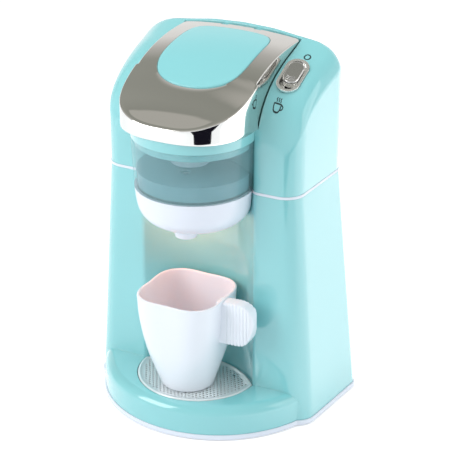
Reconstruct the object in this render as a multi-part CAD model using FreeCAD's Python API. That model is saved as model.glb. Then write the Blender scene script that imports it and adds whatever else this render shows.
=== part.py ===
import FreeCAD
import Part
import math
import os

V = FreeCAD.Vector
os.makedirs("parts", exist_ok=True)

# Toy coffee maker. Millimetres. X to the right, Y to the back, Z up.
# Origin: centre of the footprint, on the surface it stands on.

# Overall sizes
footZ = 0.0
plateBottom = 0.8
plateTop = 3.8
plateStep = 0.6
seamLow = 147.9
seamHigh = 149.5
wall = 2.4

# Column plan at the foot and at the seam: height, half width in front, half width behind, back face
columnLevels = [(3.8, 73.0, 78.2, 54.9), (149.5, 64.0, 66.2, 49.6)]
columnFront = -10.2
frontCorner = 12.0
rearCorner = 5.0

# Cup bay: one upright cylinder wall between the cheeks
bayCentreY = -40.4
bayRadius = 48.4
easeRadius = 4.0

# Base lip in front of the column
lipCentreY = 17.4
lipRadius = 72.3
lipTop = 21.6
lipRound = 6.5

# Drip tray
trayCentreY = -10.3
trayRadius = 38.0
trayFloor = 9.6

# Head
headBottom = 181.0
deckTop = 188.2
channelHalf = 39.3
channelBack = 47.9

# Side profile of the cheeks beside the lid: Y, Z
cheekProfile = [(-10.2, 177.0), (-10.02, 180.6), (-9.48, 184.2), (-8.38, 188.1), (-6.7, 192.3),
                (-4.56, 196.2), (-1.9, 200.2), (1.8, 204.4), (8.0, 209.7), (16.0, 214.4),
                (25.0, 218.3), (34.0, 221.2), (43.0, 224.2), (51.0, 227.0)]
# Drop of the crown from the cheek line outwards: X, drop
cheekCrown = [(0.0, -3.4), (20.0, -2.6), (39.3, 0.0), (50.0, 1.4), (57.0, 2.6), (68.0, 4.4)]
shoulderWide = 13.0
shoulderHigh = 11.0
headFrontHalf = 64.0
headRearHalf = 66.2
headBack = 49.6

# Lid
lidHalf = 38.8
lidFrontHalf = 40.2
lidStartY = -11.0
lidNoseY = -53.8
lidBottom = 188.7
lidBackY = 47.2
lidSkin = 2.6
lidProfile = [(-66.0, 188.0), (-53.8, 196.8), (-45.0, 202.4), (-30.3, 208.9), (-15.7, 215.9), (-3.4, 221.6),
              (9.1, 225.3), (22.0, 227.5), (35.1, 228.4), (48.0, 228.5)]
lidCrown = 2.6
hingeY = 46.2
hingeZ = 227.0
hingeBarrel = 1.0
hingePin = 0.5

# Water tank
tankCentreY = -13.0
tankTopR = 37.4
tankLowR = 35.6
tankLowZ = 149.0
tankWall = 1.8
tankBackR = 47.8
spoutY = -23.8
nozzleLow = 119.5
funnelY = -18.0
funnelR = 23.6
lampY = -4.0

# Cup
cupY = -23.8
cupFoot = 22.0
cupHeight = 61.8
cupWall = 1.8
# Share of the height, half width across the flats, squareness
cupSides = [(0.0, 16.2, 0.0), (0.07, 17.4, 0.1), (0.17, 19.2, 0.4), (0.41, 22.8, 1.2),
            (0.74, 25.4, 2.0), (1.0, 26.1, 2.3), (1.1, 26.2, 2.4)]

# Switch on the right cheek, in its own tilted frame
switchX = 48.2
switchY = 17.6
switchZ = 213.9
switchTilt = 24.5
switchRoll = 9.5

# Battery bay in the back wall
doorZ = 62.0
doorHalfX = 33.0
doorHalfZ = 34.4
doorScrewZ = 31.6
backLean = 2.08


def save(name, shape):
    shape.exportStep("parts/" + name + ".step")
    box = shape.BoundBox
    print(name, len(shape.Solids), "solids", round(shape.Volume / 1000.0, 2), "cm3", shape.isValid(),
          [round(v, 1) for v in (box.XMin, box.XMax, box.YMin, box.YMax, box.ZMin, box.ZMax)])


def together(shapes):
    return Part.makeCompound(shapes)


def levelEdges(shape, z):
    return [e for e in shape.Edges if abs(e.BoundBox.ZMin - z) < 0.01 and e.BoundBox.ZLength < 0.01]


def cyl(x, y, z0, z1, r):
    return Part.makeCylinder(r, z1 - z0, V(x, y, z0))


def box(x0, x1, y0, y1, z0, z1):
    return Part.makeBox(x1 - x0, y1 - y0, z1 - z0, V(x0, y0, z0))


def planWire(half0, half1, y0, y1, r0, r1, z):
    # Trapezoid seen from above with rounded corners, built by filleting the sharp wire
    corners = [V(-half0, y0, z), V(half0, y0, z), V(half1, y1, z), V(-half1, y1, z)]
    radii = [r0, r0, r1, r1]
    edges = []
    starts = []
    ends = []
    mids = []
    for i in range(4):
        here = corners[i]
        before = corners[i - 1].sub(here).normalize()
        after = corners[(i + 1) % 4].sub(here).normalize()
        half = before.getAngle(after) / 2.0
        reach = radii[i] / math.tan(half)
        centre = here.add(before.add(after).normalize().multiply(radii[i] / math.sin(half)))
        starts.append(here.add(V(before).multiply(reach)))
        ends.append(here.add(V(after).multiply(reach)))
        mids.append(centre.add(here.sub(centre).normalize().multiply(radii[i])))
    for i in range(4):
        edges.append(Part.Arc(starts[i], mids[i], ends[i]).toShape())
        edges.append(Part.LineSegment(ends[i], starts[(i + 1) % 4]).toShape())
    return Part.Wire(edges)


def column(inset, bottom, top):
    # Flared lower column, drawn in by inset all round, between two heights
    wires = []
    for z, front, rear, back in columnLevels:
        wires.append(planWire(front - inset, rear - inset, columnFront + inset, back - inset,
                              max(frontCorner - inset, 1.5), max(rearCorner - inset, 1.5), z))
    body = Part.makeLoft(wires, True, True)
    return body.common(box(-120, 120, -120, 120, bottom, top))


def bayEase(bottom, top):
    # Cutters that round the upright edges between the bay and the cheeks' fronts
    cy = columnFront + easeRadius
    cx = math.sqrt((bayRadius + easeRadius) ** 2 - (cy - bayCentreY) ** 2)
    share = bayRadius / (bayRadius + easeRadius)
    centre = V(cx, cy, bottom)
    onFront = V(cx, columnFront, bottom)
    onBay = V(cx * share, bayCentreY + (cy - bayCentreY) * share, bottom)
    middle = centre.add(onFront.add(onBay).multiply(0.5).sub(centre).normalize().multiply(easeRadius))
    edges = [Part.Arc(onFront, middle, onBay).toShape()]
    ring = [onBay, V(onBay.x - 3.0, columnFront - 1.0, bottom), V(cx, columnFront - 1.0, bottom), onFront]
    for a, b in zip(ring, ring[1:]):
        edges.append(Part.LineSegment(a, b).toShape())
    right = Part.Face(Part.Wire(edges)).extrude(V(0, 0, top - bottom))
    return right.fuse(right.mirror(V(0, 0, 0), V(1, 0, 0)))


def lipDisc(inset, bottom, top):
    return cyl(0, lipCentreY, bottom, top, lipRadius - inset).common(box(-90, 90, -90, 6, bottom, top))


def trayPlan(inset, bottom, top):
    front = cyl(0, trayCentreY, bottom, top, trayRadius - inset)
    return front.common(cyl(0, bayCentreY, bottom, top, bayRadius - 0.4 - inset))


def roof(profile, xs, drops, lower, bottom):
    # Solid under a crowned top: one section across X for each point of the side profile
    wires = []
    for y, z in profile:
        points = []
        for x, d in zip(reversed(xs[1:]), reversed(drops[1:])):
            points.append(V(-x, y, z - d - lower))
        for x, d in zip(xs, drops):
            points.append(V(x, y, z - d - lower))
        curve = Part.BSplineCurve()
        curve.interpolate(points)
        left = V(points[0].x, y, bottom)
        right = V(points[-1].x, y, bottom)
        wires.append(Part.Wire([curve.toShape(),
                                Part.LineSegment(points[-1], right).toShape(),
                                Part.LineSegment(right, left).toShape(),
                                Part.LineSegment(left, points[0]).toShape()]))
    return Part.makeLoft(wires, True, False)


def level(table, x):
    for (x0, y0), (x1, y1) in zip(table, table[1:]):
        if x <= x1:
            return y0 + (y1 - y0) * (x - x0) / (x1 - x0)
    return table[-1][1]


def smooth(table, x):
    # Smooth curve through a table
    last = len(table) - 1
    x = min(max(x, table[0][0]), table[last][0])
    i = max(k for k in range(last) if table[k][0] <= x)
    slopes = []
    for k in (i, i + 1):
        a = table[max(k - 1, 0)]
        b = table[min(k + 1, last)]
        slopes.append((b[1] - a[1]) / (b[0] - a[0]))
    h = table[i + 1][0] - table[i][0]
    t = (x - table[i][0]) / h
    return ((1 + 2 * t) * (1 - t) ** 2 * table[i][1] + t * (1 - t) ** 2 * h * slopes[0]
            + t * t * (3 - 2 * t) * table[i + 1][1] + t * t * (t - 1) * h * slopes[1])


def headStations():
    # Y and half width of the head, round its front corners, along its sides and round its rear corners
    slant = (headRearHalf - headFrontHalf) / (headBack - columnFront)
    frontX = headFrontHalf + frontCorner * slant - frontCorner * math.hypot(1.0, slant)
    rows = []
    for a in (0, 10, 20, 31, 43, 56, 70, 88):
        rad = math.radians(a)
        rows.append((columnFront + frontCorner * (1 - math.cos(rad)), frontX + frontCorner * math.sin(rad)))
    y = 4.0
    while y < 44.0:
        rows.append((y, headFrontHalf + (y - columnFront) * slant))
        y += 2.5
    rearY = headBack - rearCorner
    rearX = headFrontHalf + (rearY - columnFront) * slant - rearCorner
    for a in (4, 30, 60, 90):
        rad = math.radians(a)
        rows.append((rearY + rearCorner * math.sin(rad), rearX + rearCorner * math.cos(rad)))
    return rows


def headSolid(inset, bottom):
    # The head's solid as one section across X for each station, drawn in by inset
    wires = []
    for y, half in headStations():
        share = (y - columnFront) / (headBack - columnFront)
        y = columnFront + inset + share * (headBack - columnFront - 2 * inset)
        half = half - inset
        rise = smooth(cheekProfile, y + 0.3) - smooth(cheekProfile, y - 0.3)
        top = smooth(cheekProfile, y) - inset * math.hypot(1.0, rise / 0.6)
        flat = half - shoulderWide
        outwards = [(flat * k / 5.0, 0.0) for k in range(6)]
        for a in (15, 30, 45, 60, 75, 90):
            rad = math.radians(a)
            outwards.append((flat + shoulderWide * math.sin(rad), shoulderHigh * (1 - math.cos(rad))))
        side = [V(x, y, max(top - level(cheekCrown, x) - d, bottom + 4.0)) for x, d in outwards]
        points = [V(-p.x, p.y, p.z) for p in reversed(side[1:])] + side
        curve = Part.BSplineCurve()
        curve.interpolate(points)
        left = V(points[0].x, y, bottom)
        right = V(points[-1].x, y, bottom)
        wires.append(Part.Wire([curve.toShape(),
                                Part.LineSegment(points[-1], right).toShape(),
                                Part.LineSegment(right, left).toShape(),
                                Part.LineSegment(left, points[0]).toShape()]))
    return Part.makeLoft(wires, True, True)


def superFront(half, nose, start, power, back, z):
    # Straight sides from the back, and a squarish rounded front
    count = 24
    points = []
    for i in range(count + 1):
        a = math.pi * i / count
        c = math.cos(a)
        s = math.sin(a)
        x = half * math.copysign(abs(c) ** (2.0 / power), c)
        points.append(V(x, start + (nose - start) * abs(s) ** (2.0 / power), z))
    curve = Part.BSplineCurve()
    curve.interpolate(points)
    return Part.Wire([curve.toShape(), Part.LineSegment(points[-1], V(-half, back, z)).toShape(),
                      Part.LineSegment(V(-half, back, z), V(half, back, z)).toShape(),
                      Part.LineSegment(V(half, back, z), points[0]).toShape()])


def tilted(shape):
    # From the switch's own frame to the cheek
    shape = shape.copy()
    shape.rotate(V(0, 0, 0), V(0, 1, 0), switchRoll)
    shape.rotate(V(0, 0, 0), V(1, 0, 0), switchTilt)
    shape.translate(V(switchX, switchY, switchZ))
    return shape


def leaned(shape):
    # From the battery door's own frame to the back wall
    shape = shape.copy()
    shape.rotate(V(0, 0, 0), V(1, 0, 0), backLean)
    shape.translate(V(0, backFace(doorZ), doorZ))
    return shape


def backFace(z):
    low = columnLevels[0]
    high = columnLevels[-1]
    return low[3] + (high[3] - low[3]) * (z - low[0]) / (high[0] - low[0])


def racetrack(length, width, z0, z1):
    r = width / 2.0
    run = length / 2.0 - r
    middle = box(-r, r, -run, run, z0, z1)
    return middle.fuse([cyl(0, -run, z0, z1, r), cyl(0, run, z0, z1, r)]).removeSplitter()


# Base plate, feet and base screws
plateOuter = planWire(columnLevels[0][1] + plateStep, columnLevels[0][2] + plateStep, columnFront - plateStep,
                      columnLevels[0][3] + plateStep, frontCorner, rearCorner, plateBottom)
plateOuter = Part.Face(plateOuter).extrude(V(0, 0, plateTop - plateBottom))
basePlate = plateOuter.fuse(lipDisc(-plateStep, plateBottom, plateTop)).removeSplitter()
footSpots = [(-52, 40), (52, 40), (-40, -30), (40, -30)]
screwSpots = [(-71.4, 44), (71.4, 44), (-69.4, 4), (69.4, 4), (-53, -15), (53, -15)]
feet = []
for x, y in footSpots:
    basePlate = basePlate.cut(cyl(x, y, 0, 1.8, 7.0))
    feet.append(cyl(x, y, footZ, 1.8, 7.0))
screws = []
for x, y in screwSpots:
    basePlate = basePlate.cut(cyl(x, y, 0, 2.4, 3.2).fuse(cyl(x, y, 0, 5, 1.6)))
    head = cyl(x, y, 1.0, 2.4, 2.8)
    slot = box(x - 2.0, x + 2.0, y - 0.35, y + 0.35, 0.5, 1.6)
    slot = slot.fuse(box(x - 0.35, x + 0.35, y - 2.0, y + 2.0, 0.5, 1.6))
    screws.append(head.fuse(cyl(x, y, 2.4, 12.0, 1.25)).cut(slot))
save("base_plate", basePlate)
save("foot_pads", together(feet))
save("base_screws", together(screws))

# Lower housing: column and base lip in one shell
bayHigh = cyl(0, bayCentreY, lipTop, 160.0, bayRadius)
lip = cyl(0, lipCentreY, plateTop, lipTop, lipRadius)
lip = lip.makeFillet(lipRound, levelEdges(lip, lipTop))
lip = lip.common(box(-90, 90, -90, 6, plateTop, lipTop))
lowerOuter = column(0.0, plateTop, seamLow).cut(bayHigh).cut(bayEase(lipTop, 150.0)).fuse(lip)
lipInside = lipDisc(wall, plateTop - 1, lipTop - wall)
columnInside = column(wall, plateTop - 1, seamLow + 1).fuse(box(-60, 60, 0, 40, plateTop - 1, plateTop + 1))
columnInside = columnInside.cut(cyl(0, bayCentreY, lipTop - wall, 160.0, bayRadius + wall))
lowerHousing = lowerOuter.cut(columnInside.fuse(lipInside))
lowerHousing = lowerHousing.cut(trayPlan(0.0, trayFloor, lipTop + 5.0))
for x, y in screwSpots:
    high = 15.0 if y > -10 else lipTop - 1.0
    boss = cyl(x, y, plateTop, high, 4.2)
    boss = boss.common(column(0.6, plateTop, 60).fuse(lipDisc(0.6, plateTop, lipTop)))
    lowerHousing = lowerHousing.fuse(boss).cut(cyl(x, y, plateTop - 1, high - 1.5, 1.25))
doorHole = leaned(box(-doorHalfX - 0.3, doorHalfX + 0.3, -4.0, 2.0, -doorHalfZ - 0.3, doorHalfZ + 0.3))
lowerHousing = lowerHousing.cut(doorHole).removeSplitter()
save("lower_housing", lowerHousing)

# Well for the drip tray, fixed under the opening in the lip
trayWell = trayPlan(-2.0, trayFloor - 2.0, lipTop - wall).cut(trayPlan(0.0, trayFloor, lipTop + 5.0))
save("tray_well", trayWell)

# White seam ring, with a tongue that holds both shells
seamOuter = Part.Face(planWire(64.2, 66.4, columnFront - 0.1, 49.7, frontCorner, rearCorner, seamLow))
seamOuter = seamOuter.extrude(V(0, 0, seamHigh - seamLow)).cut(cyl(0, bayCentreY, 140, 160, bayRadius - 0.1))
seamOuter = seamOuter.cut(bayEase(140.0, 160.0))
tongueOuter = column(wall + 0.1, 144.0, 149.5).cut(cyl(0, bayCentreY, 140, 160, bayRadius + wall + 0.1))
tongueInner = column(wall + 1.9, 140.0, 149.5).cut(cyl(0, bayCentreY, 130, 160, bayRadius + wall + 1.9))
seamBand = seamOuter.fuse(tongueOuter).cut(tongueInner).removeSplitter()
save("seam_band", seamBand)

# Upper housing: crowned cheeks, back ridge and the channel for the lid
upperOuter = headSolid(0.0, seamHigh)
upperInside = headSolid(wall, seamHigh - 1.0)
channel = box(-channelHalf, channelHalf, -60, channelBack, deckTop, 260)
channelShell = box(-channelHalf - wall, channelHalf + wall, -60, 60, deckTop - wall, 260)
bayUp = cyl(0, bayCentreY, 140, deckTop, bayRadius)
bayShell = cyl(0, bayCentreY, 130, deckTop, bayRadius + wall)
upperInside = upperInside.cut(channelShell).cut(bayShell)
upperHousing = upperOuter.cut(channel).cut(bayUp).cut(bayEase(140.0, deckTop)).cut(upperInside)
switchHole = tilted(racetrack(26.2, 13.0, -8.0, 8.0).fuse(racetrack(27.4, 14.2, -0.8, 8.0)))
upperHousing = upperHousing.cut(switchHole)
barrelSpots = [(-13.0, -9.0), (9.0, 13.0)]
for x0, x1 in barrelSpots:
    barrel = Part.makeCylinder(hingeBarrel, x1 - x0, V(x0, hingeY, hingeZ), V(1, 0, 0))
    web = box(x0, x1, hingeY, channelBack + 0.6, hingeZ - 1.0, hingeZ + 0.6)
    upperHousing = upperHousing.fuse(barrel.fuse(web))
pinBore = Part.makeCylinder(hingePin, 29.0, V(-14.5, hingeY, hingeZ), V(1, 0, 0))
upperHousing = upperHousing.cut(pinBore).removeSplitter()
save("upper_housing", upperHousing)

# Hinge pin of the lid
save("lid_hinge_pin", Part.makeCylinder(hingePin, 29.0, V(-14.5, hingeY, hingeZ), V(1, 0, 0)))

# Lid: chrome shell with a coloured panel let into its top
lidX = [0.0, 12.0, 24.0, 34.0, 44.0]
lidDrops = [lidCrown * (x / 38.0) ** 2 for x in lidX]
lidRoof = roof(lidProfile, lidX, lidDrops, 0.0, 150.0)
lidUnder = roof([(y + 0.8, z) for y, z in lidProfile], lidX, lidDrops, lidSkin, 140.0)
lidWire = superFront(lidFrontHalf, lidNoseY, lidStartY, 2.6, lidStartY + 1.0, lidBottom)
lidPlan = Part.Face(lidWire).extrude(V(0, 0, 60))
lidRear = box(-lidHalf, lidHalf, lidStartY, lidBackY, lidBottom, 260)
lidWireIn = superFront(lidFrontHalf - 2.4, lidNoseY + 2.4, lidStartY, 2.6, lidStartY + 1.0, 180.0)
lidPlanIn = Part.Face(lidWireIn).extrude(V(0, 0, 60))
lidRearIn = box(-lidHalf + 2.4, lidHalf - 2.4, lidStartY, lidBackY - 2.4, 180, 260)
lidOuter = lidPlan.fuse(lidRear).common(lidRoof)
lidHollow = lidPlanIn.fuse(lidRearIn).common(lidUnder)
lidShell = lidOuter.cut(lidHollow)
skirtSide = [(-4, 150), (-4, lidBottom), (6, 199), (30, 210), (60, 216), (60, 150), (-4, 150)]
skirtCut = Part.Face(Part.makePolygon([V(-60, y, z) for y, z in skirtSide])).extrude(V(120, 0, 0))
lidShell = lidShell.cut(skirtCut)
panelHalf = [(0.0, -23.4), (8.0, -22.7), (16.0, -19.9), (22.4, -15.2), (26.2, -9.0), (27.8, -1.5),
             (28.0, 9.0), (27.6, 21.0), (26.7, 30.0), (23.6, 36.2), (16.5, 38.7), (0.0, 39.2)]
panelPoints = [V(x, y, 0) for x, y in panelHalf] + [V(-x, y, 0) for x, y in reversed(panelHalf[1:-1])]
panelCurve = Part.BSplineCurve()
panelCurve.interpolate(Points=panelPoints, PeriodicFlag=True)
panelFace = Part.Face(Part.Wire([panelCurve.toShape()]))
panelTall = panelFace.extrude(V(0, 0, 300))
panelUnder = roof(lidProfile, lidX, lidDrops, 1.2, 150.0)
panelPocket = panelTall.cut(panelUnder).common(box(-50, 50, -60, 60, 200, 260))
lidShell = lidShell.cut(panelPocket)
lidInlay = panelTall.common(roof(lidProfile, lidX, lidDrops, -0.4, 150.0))
lidInlay = lidInlay.cut(roof(lidProfile, lidX, lidDrops, 1.2, 140.0))
for x0, x1 in barrelSpots:
    lidShell = lidShell.cut(box(x0 - 0.3, x1 + 0.3, 44.9, 50, 205, 240))
easeSide = [(46.3, 228.6), (47.3, 227.5), (47.3, 231), (46.3, 231), (46.3, 228.6)]
rearEase = Part.Face(Part.makePolygon([V(-60, y, z) for y, z in easeSide])).extrude(V(120, 0, 0))
lidBore = Part.makeCylinder(hingePin + 0.05, 29.4, V(-14.7, hingeY, hingeZ), V(1, 0, 0))
lidShell = lidShell.cut(rearEase).cut(lidBore)
save("lid_shell", lidShell)
save("lid_inlay", lidInlay)

# Collar over the tank, with a ring that locates in the tank's mouth
tankBack = cyl(0, bayCentreY, 100, 260, tankBackR)
collar = Part.makeCone(tankTopR, tankTopR + 0.9, deckTop - headBottom, V(0, tankCentreY, headBottom))
collar = collar.common(cyl(0, bayCentreY, 100, 260, bayRadius))
collarPlug = cyl(0, tankCentreY, 176.0, headBottom, 34.9)
collar = collar.fuse(collarPlug.common(cyl(0, bayCentreY, 100, 260, tankBackR - tankWall - 0.4)))
collar = collar.cut(cyl(0, funnelY, 170, 200, funnelR))
collarHollow = cyl(0, tankCentreY, 170, 185.0, 32.8).common(cyl(0, bayCentreY, 100, 260, tankBackR - 4.4))
collar = collar.cut(collarHollow)
save("head_collar", collar)

# Funnel under the lid, through which the tank is filled
funnel = Part.makeCone(11.6, funnelR - 0.1, 23.2, V(0, funnelY, 165.0))
funnel = funnel.fuse(cyl(0, funnelY, deckTop, 189.6, funnelR + 3.4))
funnel = funnel.cut(Part.makeCone(10.0, funnelR - 1.6, 24.6, V(0, funnelY, 165.0)))
save("fill_funnel", funnel)


def tankCone(inset, z0, z1):
    slope = (tankTopR - tankLowR) / (headBottom - tankLowZ)
    r0 = tankLowR + slope * (z0 - tankLowZ) - inset
    r1 = tankLowR + slope * (z1 - tankLowZ) - inset
    cone = Part.makeCone(r0, r1, z1 - z0, V(0, tankCentreY, z0))
    return cone.common(cyl(0, bayCentreY, 100, 260, tankBackR - inset))


# Clear tank wall, its inner floor and seal
save("tank_shell", tankCone(0.0, tankLowZ, headBottom).cut(tankCone(tankWall, tankLowZ - 1, headBottom + 1)))
tankFloor = tankCone(tankWall + 0.05, 158.4, 160.0).cut(cyl(0, spoutY, 150, 170, 3.0))
floorSkirt = tankCone(tankWall + 0.05, 150.6, 160.0).cut(tankCone(tankWall + 1.45, 149, 161))
tankFloor = tankFloor.fuse(floorSkirt).removeSplitter()
save("tank_floor", tankFloor)
save("tank_seal", tankCone(tankWall + 0.05, 149.0, 150.5).cut(tankCone(tankWall + 2.0, 148.0, 151.0)))

# White bowl under the tank


def bowlProfile(inset):
    points = [(0, 126.0 + inset), (21.0, 126.0 + inset)]
    side = [(21.0, 126.0), (27.5, 128.2), (32.3, 133.2), (34.6, 140.5), (tankLowR, tankLowZ)]
    curvePoints = []
    for i, (r, z) in enumerate(side):
        a = math.radians(90.0 * (1.0 - i / (len(side) - 1.0)))
        curvePoints.append(V(r - inset * math.cos(a), 0, z + inset * math.sin(a)))
    curve = Part.BSplineCurve()
    curve.interpolate(curvePoints)
    top = 150.0 if inset > 0 else tankLowZ
    edges = [Part.LineSegment(V(0, 0, points[0][1]), curvePoints[0]).toShape(), curve.toShape()]
    last = curvePoints[-1]
    if top > last.z + 0.001:
        edges.append(Part.LineSegment(last, V(last.x, 0, top)).toShape())
    edges.append(Part.LineSegment(V(last.x, 0, top), V(0, 0, top)).toShape())
    edges.append(Part.LineSegment(V(0, 0, top), V(0, 0, points[0][1])).toShape())
    solid = Part.Face(Part.Wire(edges)).revolve(V(0, 0, 0), V(0, 0, 1), 360)
    solid.translate(V(0, tankCentreY, 0))
    return solid.common(cyl(0, bayCentreY, 100, 260, tankBackR - inset))


bowl = bowlProfile(0.0).cut(bowlProfile(2.0))
bowl = bowl.cut(cyl(0, spoutY, 120, 130, 2.2)).cut(cyl(0, lampY, 120, 130, 2.6))
save("tank_base", bowl)
nozzle = Part.makeCone(6.6, 8.2, 126.0 - nozzleLow, V(0, spoutY, nozzleLow))
save("outlet_nozzle", nozzle.cut(cyl(0, spoutY, 110, 130, 2.2)))

# Valve in the outlet, lifted when the switch is set to pour
save("valve_stem", cyl(0, spoutY, 130.2, 158.0, 1.5).fuse(cyl(0, spoutY, 130.2, 131.4, 3.6)))
save("valve_seal", cyl(0, spoutY, 128.1, 130.2, 4.0))

# Warm lamp above the bay
lens = cyl(0, lampY, 124.6, 129.0, 2.5).fuse(Part.makeSphere(2.5, V(0, lampY, 124.6)))
save("lamp_lens", lens.removeSplitter())
save("lamp_board", box(-8, 8, lampY - 6, lampY + 6, 129.0, 130.4))

# Switch: bezel, slider with stem, bright cap and the contact block below
bezel = racetrack(25.9, 12.7, -5.0, -0.8).fuse(racetrack(27.1, 13.9, -0.8, 0.7))
bezel = bezel.cut(racetrack(23.6, 10.6, -3.2, 5.0))
bezel = bezel.cut(box(-2.0, 2.0, -8.2, 8.2, -8.0, 0))
save("switch_bezel", tilted(bezel))
sliderY = 1.2
slider = racetrack(17.4, 9.8, -2.8, 0.4)
slider = slider.fuse(box(-1.6, 1.6, -3.0, 3.0, -10.0, -2.8))
slider.translate(V(0, sliderY, 0))
save("switch_slider", tilted(slider))
cap = racetrack(17.4, 9.8, 0.4, 2.2)
cap = cap.makeFillet(1.2, levelEdges(cap, 2.2))
cap.translate(V(0, sliderY, 0))
save("switch_cap", tilted(cap))
block = box(-5.2, 5.0, -12.0, 12.0, -15.0, -7.2).cut(box(-2.2, 2.2, -9.0, 9.0, -11.0, -5.0))
save("switch_block", tilted(block).cut(box(0, channelHalf + wall, -60, 60, 100, 260)))

# Circuit board behind the tank
save("circuit_board", box(-22, 22, 40.0, 41.6, 152.0, 182.0))
boardPosts = []
for x, z in ((-18, 156), (18, 156), (-18, 178), (18, 178)):
    boardPosts.append(Part.makeCylinder(2.5, 5.6, V(x, 41.6, z), V(0, 1, 0)))
save("board_posts", together(boardPosts))

# Battery bay: box, cells, contacts, springs, door and its screw, in the lean of the back wall
boxFront = -wall - 0.15
bayBox = box(-37, 37, -22.0, boxFront, -38.4, 38.4).cut(box(-31.0, 31.0, -20.0, 0, -28.6, 28.6))
bayBox = bayBox.cut(Part.makeCylinder(1.32, 12.0, V(0, boxFront, doorScrewZ), V(0, -1, 0)))
save("battery_box", leaned(bayBox).cut(cyl(0, bayCentreY, 0, 160, bayRadius + wall)))
cells = []
springs = []
contacts = []
for i in range(4):
    x = -22.8 + 15.2 * i
    up = 1 if i % 2 == 0 else -1
    body = cyl(x, -11.6, -24.6 if up > 0 else -24.4, 24.4 if up > 0 else 24.6, 7.1)
    nub = cyl(x, -11.6, 24.4, 25.6, 2.7) if up > 0 else cyl(x, -11.6, -25.6, -24.4, 2.7)
    cells.append(leaned(body.fuse(nub)))
    z0 = -28.0 if up > 0 else 24.6
    lowR, highR = (4.4, 2.6) if up > 0 else (2.6, 4.4)
    outerCone = Part.makeCone(lowR, highR, 3.4, V(x, -11.6, z0))
    springs.append(leaned(outerCone.cut(cyl(x, -11.6, z0 - 1, z0 + 5, 1.8))))
    plateLow = box(x - 6.6, x + 6.6, -18.0, -5.0, -28.6, -28.0)
    plateHigh = box(x - 6.6, x + 6.6, -18.0, -5.0, 28.0, 28.6)
    contacts.append(leaned(plateLow))
    contacts.append(leaned(plateHigh))
save("battery_cells", together(cells))
save("battery_springs", together(springs))
save("battery_contacts", together(contacts))
door = box(-doorHalfX, doorHalfX, -wall + 0.05, -0.1, -doorHalfZ, doorHalfZ)
for i in range(5):
    door = door.fuse(box(-9, 9, -0.2, 0.5, -26.0 + 2.6 * i, -25.0 + 2.6 * i))
screwAxis = V(0, 1, 0)
door = door.cut(Part.makeCylinder(1.6, 10.0, V(0, -6.0, doorScrewZ), screwAxis))
door = door.cut(Part.makeCylinder(3.1, 10.0, V(0, -1.5, doorScrewZ), screwAxis)).removeSplitter()
doorScrew = Part.makeCylinder(2.8, 1.2, V(0, -1.5, doorScrewZ), screwAxis)
doorScrew = doorScrew.fuse(Part.makeCylinder(1.25, 9.0, V(0, -10.0, doorScrewZ), screwAxis))
doorScrew = doorScrew.cut(box(-2.0, 2.0, -0.9, 0, doorScrewZ - 0.35, doorScrewZ + 0.35))
doorScrew = doorScrew.cut(box(-0.35, 0.35, -0.9, 0, doorScrewZ - 2.0, doorScrewZ + 2.0))
save("battery_door_screw", leaned(doorScrew))
save("battery_door", leaned(door))

# Drip tray: dish and perforated grille
dish = trayPlan(0.4, trayFloor + 0.2, lipTop - 2.0).cut(trayPlan(2.2, trayFloor + 2.0, lipTop))
dishRim = trayPlan(0.4, lipTop - 2.0, lipTop - 1.0).cut(trayPlan(3.2, lipTop - 3.0, lipTop))
save("tray_dish", dish.fuse(dishRim).removeSplitter())
grille = trayPlan(0.4, lipTop - 1.0, lipTop + 0.4)
holes = []
pitch = 3.6
for j in range(-16, 12):
    for i in range(-12, 13):
        x = pitch * (i + 0.5 * (j % 2))
        y = trayCentreY - 6.0 + pitch * 0.866 * j
        inFront = math.hypot(x, y - trayCentreY) < trayRadius - 4.4
        inBack = math.hypot(x, y - bayCentreY) < bayRadius - 4.8
        clearOfCup = math.hypot(x, y - cupY) > 14.0
        if inFront and inBack and clearOfCup:
            holes.append(cyl(x, y, lipTop - 2, lipTop + 2, 1.05))
save("tray_grille", grille.cut(together(holes)))


# Cup: rounded square rim that tapers to a round foot, and a solid ribbed fin as handle
def cupWire(inset, share):
    low = [row for row in cupSides if row[0] <= share][-1]
    high = [row for row in cupSides if row[0] >= share][0]
    t = (share - low[0]) / max(high[0] - low[0], 0.001)
    flat = low[1] + (high[1] - low[1]) * t
    square = low[2] + (high[2] - low[2]) * t
    z = cupFoot + cupHeight * share
    points = []
    count = 24
    for i in range(count):
        a = 2 * math.pi * i / count
        r = flat + square - square * math.cos(4 * a) - inset
        points.append(V(r * math.cos(a), cupY + r * math.sin(a), z))
    curve = Part.BSplineCurve()
    curve.interpolate(Points=points, PeriodicFlag=True)
    return Part.Wire([curve.toShape()])


cupTop = cupFoot + cupHeight
outerWires = [cupWire(0, t) for t in (0.0, 0.07, 0.17, 0.41, 0.74, 1.0)]
innerWires = [cupWire(cupWall, t) for t in (0.04, 0.1, 0.17, 0.41, 0.74, 1.02)]
cup = Part.makeLoft(outerWires, True, False)
finPoints = [(20.0, 86.2), (30.0, 86.6), (38.5, 86.6), (43.5, 85.0), (45.6, 81.0), (46.0, 75.0),
             (44.8, 67.0), (42.0, 61.6), (37.0, 59.4), (20.0, 58.8)]
finShift = cupTop - 87.4
finWire = Part.makePolygon([V(x, cupY - 4.6, z + finShift) for x, z in finPoints + finPoints[:1]])
fin = Part.Face(finWire).extrude(V(0, 9.2, 0))
for side in (-1, 1):
    for i in range(7):
        x = 29.4 + 2.3 * i
        groove = box(x - 0.45, x + 0.45, cupY + side * 4.6 - 0.6, cupY + side * 4.6 + 0.6, 50, 90)
        fin = fin.cut(groove)
cup = cup.fuse(fin).cut(Part.makeLoft(innerWires, True, False)).removeSplitter()
save("cup", cup)
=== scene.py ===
import math

import bmesh
import bpy
from mathutils import Matrix, Vector
from mathutils.bvhtree import BVHTree


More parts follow.
